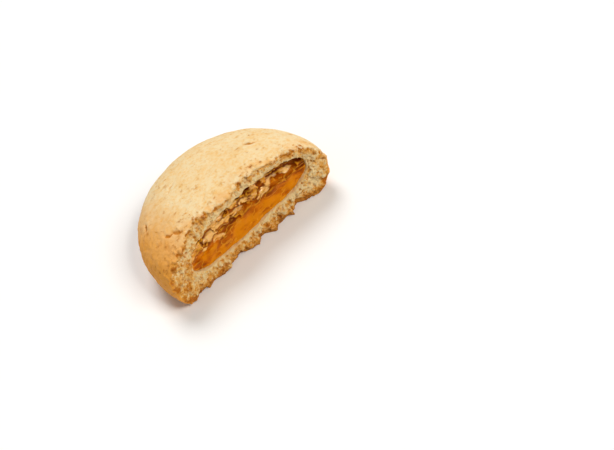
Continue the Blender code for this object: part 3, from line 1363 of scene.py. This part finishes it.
@dataclass
class JamFilling:
    """The jam: a lens that fills the hollow, torn into wet ledges and flaps where the cookie broke."""

    form: CookieForm
    centre: Vector
    cell: float = 0.2 * MM
    voxel: float = 0.16 * MM
    flaps: tuple[Flap, ...] = (
        Flap(-14.6, 1.2, 5.0, 1.2, 18.0),
        Flap(-10.0, 2.1, 6.2, 2.9, 4.0),
        Flap(-5.0, 2.5, 5.6, 2.6, -6.0),
        Flap(-0.8, 1.2, 6.6, 1.1, -22.0, 50.0),
        Flap(-0.8, 3.4, 3.2, 1.1, -24.0),
        Flap(2.6, 1.8, 3.2, 1.2, -24.0, 50.0),
        Flap(5.6, 2.0, 3.4, 1.6, 32.0),
        Flap(8.2, 3.0, 2.4, 0.9, -8.0, 48.0),
        Flap(11.5, 1.8, 5.2, 2.5, -14.0, 60.0),
        Flap(15.3, 1.0, 3.2, 1.0, -14.0, 48.0),
        Flap(-7.4, -0.4, 3.0, 0.6, -12.0, 40.0),
        Flap(7.6, 0.2, 3.4, 0.6, 8.0, 40.0),
        Flap(-12.2, 0.1, 2.4, 0.5, 10.0, 40.0),
    )
    flap_waves: tuple[tuple[str, float], ...] = (("Y", 1.5), ("Z", 1.2), ("X", 0.9))
    seed: int = 2
    kept_share: float = 0.45
    relief_rounds: int = 26
    terraces: tuple[Terrace, ...] = (
        Terrace(-0.6 * MM, 0.40 * MM, 0.20 * MM, 0.9 * MM, 3.4 * MM, 2.7),
        Terrace(1.1 * MM, 0.80 * MM, 0.38 * MM, 0.8 * MM, 3.0 * MM, 9.1),
        Terrace(3.3 * MM, 1.20 * MM, 0.50 * MM, 0.8 * MM, 4.2 * MM, 5.3),
    )

    def build(self) -> bpy.types.Object:
        """Model the jam and dress it.

        Returns:
            The jam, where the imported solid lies.
        """
        # Vector noise starts from the clock where it has no seed
        noise.seed_set(self.seed)
        jam = jam_lens("jam", self.form, self.form.gap * 0.9)
        block = torn_block("jam_tear", self.front_level, self.cell, self.form)
        use_modifier(jam, "BOOLEAN", operation="DIFFERENCE", solver="MANIFOLD", object=block)
        flaps = self.model_flaps()
        flap_tree = tree_of(flaps)
        discard(block)
        join(jam, flaps)
        use_modifier(jam, "REMESH", mode="VOXEL", voxel_size=self.voxel, adaptivity=0.0)
        use_modifier(jam, "SMOOTH", factor=0.5, iterations=1)
        self.lighten(jam)
        self.note_surface(jam, flap_tree)
        place(jam, positions(jam) + np.array(self.centre))
        shade_smooth(jam)
        jam.data.materials.clear()
        jam.data.materials.append(JamFinish().material())
        return jam

    def plates(self, x: float, z: float, size: float, depth: float) -> float:
        """Slanting facets of uneven outline, each a small plane of its own, longer than it is high.

        Args:
            x: A place along the break.
            z: A level.
            size: A facet's height.
            depth: How strongly the facets slant and step.

        Returns:
            How far back the facet lies there.
        """
        warp = noise.noise_vector(Vector((x, 0.0, z)) / (2.2 * MM))
        spot = Vector((x / (2.4 * size) + 0.4 * warp.x + 0.3 * z / size, 3.1, z / size + 0.6 * warp.z))
        middle = noise.voronoi(spot)[1][0]
        away = spot - Vector(middle)
        tilt = noise.cell_vector(Vector(middle) * 17.3)
        return depth * (tilt.z - 0.5 + away.x * (tilt.x - 0.5) * 3 + away.z * (tilt.y - 0.2) * 3)

    def front_level(self, x: float, z: float) -> float:
        """The jam's torn front, which is smooth low down and steps back in ledges under the roof.

        Args:
            x: A place along the break.
            z: A level.

        Returns:
            The front's Y there.
        """
        height = z - self.form.jam_level - self.form.jam_tilt * x
        back = self.form.jam_recess + sum(t.back(x, height) for t in self.terraces)
        torn = min(max(height / (3 * MM) + 0.3, 0.0), 1.0)
        back += torn * (self.plates(x, z, 1.7 * MM, 0.45 * MM) + self.plates(x, z, 0.8 * MM, 0.15 * MM))
        back += 0.45 * MM * noise.noise(Vector((x / (3.2 * MM), 8.2, z / (2.2 * MM))))
        return back - self.form.even_break(x, z)

    def model_flaps(self) -> bpy.types.Object:
        """The torn flaps of gel, each a wavy plate that leans out of the front.

        Returns:
            The flaps in one mesh.
        """
        bpy.ops.object.select_all(action="DESELECT")
        bpy.ops.mesh.primitive_cube_add(size=1.0)
        plate = newest("gel_plate")
        bpy.ops.object.mode_set(mode="EDIT")
        bpy.ops.mesh.select_all(action="SELECT")
        bpy.ops.mesh.bevel(offset=0.22, segments=2, affect="EDGES")
        bpy.ops.mesh.subdivide(number_cuts=3)
        bpy.ops.object.mode_set(mode="OBJECT")
        placements = []
        for flap in self.flaps:
            x = flap.along * MM
            z = flap.rise * MM + self.form.jam_level + self.form.jam_tilt * x
            turn = Euler((math.radians(flap.pitch), math.radians(-flap.slant), 0.0)).to_matrix()
            size = (flap.length, flap.breadth / math.sin(math.radians(flap.pitch)), flap.thickness)
            placements.append(laid(Vector((x, self.front_level(x, z) + 0.1 * MM, z)), turn, size))
        flaps = scattered("flaps", plate, placements)
        discard(plate)
        for axis, depth in self.flap_waves:
            press(flaps, Pattern.CLOUDS, 1.5 * MM, depth * MM, direction=axis, noise_depth=2)
        return flaps

    def lighten(self, jam: bpy.types.Object) -> None:
        """Thin out the faces that the dough hides.

        Args:
            jam: The jam.
        """
        points = positions(jam)
        front = np.array([self.form.even_break(p[0], p[2]) for p in points])
        weigh(jam, Region.HIDDEN, np.clip((points[:, 1] + front) / (3 * MM) - 1.4, 0, 1))
        thin_out(jam, self.kept_share)
        jam.vertex_groups.clear()

    def note_surface(self, jam: bpy.types.Object, flaps: BVHTree) -> None:
        """Store what the material reads: the flaps' upper sides for painted highlights, the recess of the
        front for painted shade, and the relief for both.

        Args:
            jam: The jam.
            flaps: The flaps of gel.
        """
        points = positions(jam)
        normals = np.array([vertex.normal.z for vertex in jam.data.vertices])
        recess = np.array([p[1] + self.form.even_break(p[0], p[2]) for p in points]) / MM
        near = np.clip(1.6 - distances(flaps, points) / (0.25 * MM), 0, 1)
        # The flaps' upward-facing sides, where the material paints highlights.
        note(jam, "ledge", near * np.clip(normals * 2.8 - 0.5, 0, 1))
        note(jam, "recess", recess)
        note(jam, "relief", relief(jam, self.relief_rounds))


@dataclass(frozen=True)
class Softbox:
    """A soft lamp, by the way its light comes from."""

    name: str
    towards: Triple
    strength: float
    spread: float
    colour: Colour = (1.0, 1.0, 1.0)


@dataclass
class Studio:
    """A pale floor, soft lamps and the camera of the photograph."""

    centre: Vector
    azimuth: float = -24.2
    elevation: float = 46.2
    roll: float = -24.3
    distance: float = 450 * MM
    aim_right: float = 13.43 * MM
    aim_up: float = 3.02 * MM
    focal_pixels: float = 1886.8
    image_width: int = 614
    sensor: float = 36.0
    nearest: float = 10 * MM
    floor_size: float = 3.0
    ambient: float = 0.20
    lamps: tuple[Softbox, ...] = (
        Softbox("overhead", (0.22, 0.48, 0.85), 1.8, 30.0),
        Softbox("front", (0.28, -0.62, 0.73), 1.25, 24.0, (1.0, 0.96, 0.90)),
        Softbox("glint", (0.10, -0.62, 0.78), 0.45, 8.0, (1.0, 0.96, 0.90)),
        Softbox("left", (-0.80, 0.10, 0.59), 0.20, 50.0, (1.0, 0.95, 0.88)),
    )

    def build(self) -> None:
        """Set up the floor, the lamps, the surrounding light and the camera."""
        self.lay_floor()
        for lamp in self.lamps:
            data = bpy.data.lights.new(lamp.name, "SUN")
            data.energy = lamp.strength
            data.angle = math.radians(lamp.spread)
            data.color = lamp.colour
            holder = bpy.data.objects.new(lamp.name, data)
            holder.rotation_euler = Vector(lamp.towards).to_track_quat("Z", "Y").to_euler()
            bpy.context.scene.collection.objects.link(holder)
        world = bpy.data.worlds.new("studio")
        world.use_nodes = True
        world.node_tree.nodes["Background"].inputs["Color"].default_value = (1.0, 1.0, 1.0, 1.0)
        world.node_tree.nodes["Background"].inputs["Strength"].default_value = self.ambient
        bpy.context.scene.world = world
        bpy.context.scene.view_settings.view_transform = "Standard"
        self.set_camera()

    def lay_floor(self) -> None:
        """The floor, level with the cookie's underside."""
        bpy.ops.object.select_all(action="DESELECT")
        bpy.ops.mesh.primitive_plane_add(size=self.floor_size)
        floor = newest("floor")
        floor.data.materials.append(FloorFinish().material())

    def set_camera(self) -> None:
        """The camera, at the photograph's angle to the cookie, turned as it was there."""
        around, above, turned = (math.radians(a) for a in (self.azimuth, self.elevation, self.roll))
        flat = math.cos(above)
        back = Vector((math.sin(around) * flat, -math.cos(around) * flat, math.sin(above)))
        level = Vector((0, 0, 1)).cross(back).normalized()
        upright = back.cross(level)
        right = level * math.cos(turned) + upright * math.sin(turned)
        up = back.cross(right)
        data = bpy.data.cameras.new("camera")
        data.sensor_width = self.sensor
        data.lens = self.sensor * self.focal_pixels / self.image_width
        data.clip_start = self.nearest
        camera = bpy.data.objects.new("camera", data)
        spot = self.centre + right * self.aim_right + up * self.aim_up + back * self.distance
        camera.matrix_world = Matrix((right, up, back)).transposed().to_4x4()
        camera.location = spot
        bpy.context.scene.collection.objects.link(camera)
        bpy.context.scene.camera = camera


def main() -> None:
    """Build every piece, tie it to the frame and report it."""
    logging.basicConfig(level=logging.INFO, format="%(name)s: %(message)s")
    form = CookieForm()
    _, dough_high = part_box("cookie_dough")
    centre = Vector((0.0, dough_high.y - form.radius, 0.0))
    Studio(centre).build()
    for piece, node, slot in (
        (BakedDough(form, centre).build(), "cookie_dough", "baked_dough"),
        (JamFilling(form, centre).build(), "jam_filling", "jam"),
    ):
        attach(piece, "root")
        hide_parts(node)
        triangles = sum(len(face.vertices) - 2 for face in piece.data.polygons)
        LOG.info("%s stands for %s with %d triangles", piece.name, node, triangles)


if __name__ == "__main__":
    main()
